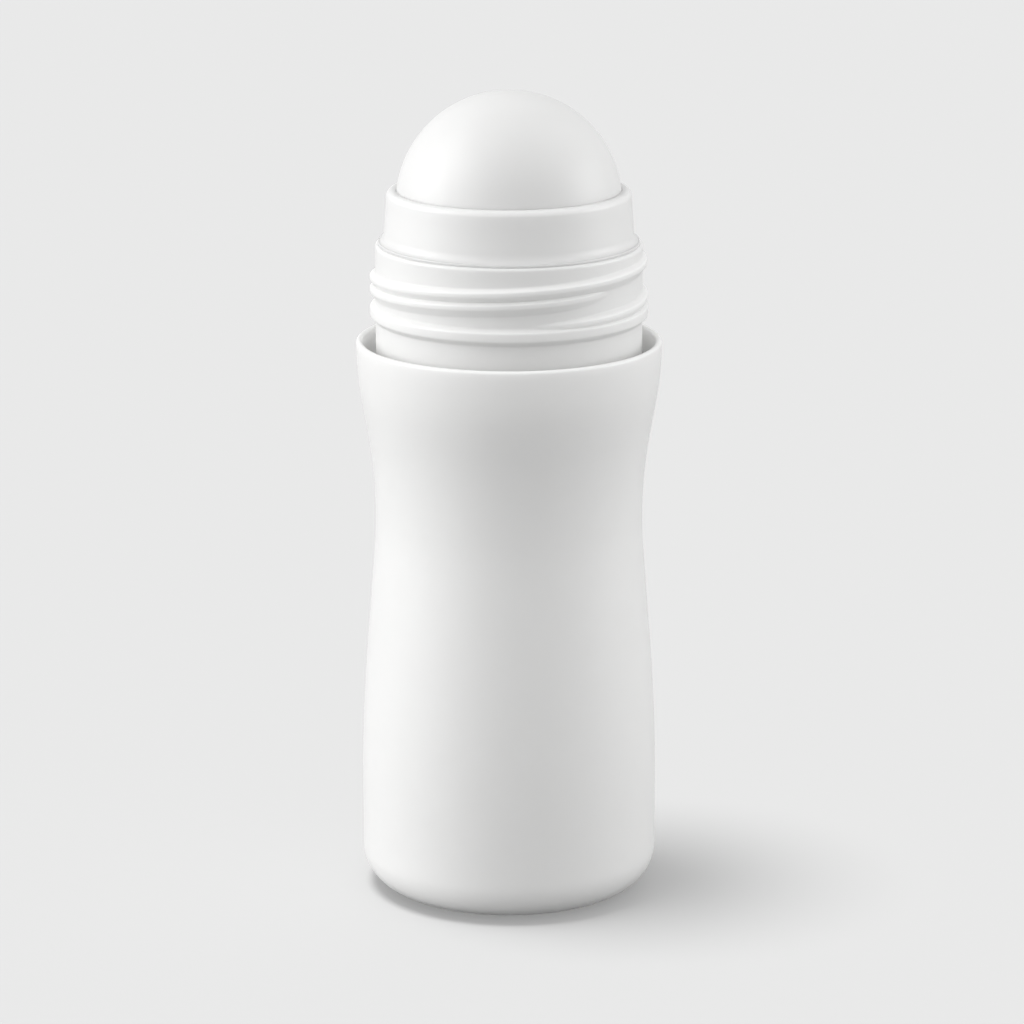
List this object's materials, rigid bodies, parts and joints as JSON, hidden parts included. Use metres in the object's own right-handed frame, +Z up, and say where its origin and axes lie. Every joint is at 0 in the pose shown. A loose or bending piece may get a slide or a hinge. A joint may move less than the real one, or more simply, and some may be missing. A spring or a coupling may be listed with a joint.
{
  "type": "roll-on deodorant",
  "caption": "Uncapped roll-on deodorant: waisted round bottle with a threaded neck, a snap-in ball housing and a ball that rolls in its socket.",
  "frame": {"origin": "centre of the ring that the bottle stands on, in the standing plane", "axes": "+Z up along the axis of the bottle, neck and ball; -Y is the side that faces the camera in the picture; +X to the right"},
  "size_m": [0.0388, 0.0388, 0.1038],
  "materials": {
    "bottle_plastic": "white polyolefin with a fine satin grain",
    "housing_plastic": "white moulded polypropylene, satin",
    "ball_plastic": "white polypropylene, ground smooth, soft sheen"
  },
  "bodies": {
    "pack": {"bottle": "bottle_plastic", "ball_housing": "housing_plastic"},
    "ball": {"roll_ball": "ball_plastic"}
  },
  "joints": [
    {"name": "ball_roll", "type": "hinge", "parent": "pack", "child": "ball", "pos_m": [0, 0, 0.0895], "axis": [1, 0, 0], "continuous": true}
  ]
}
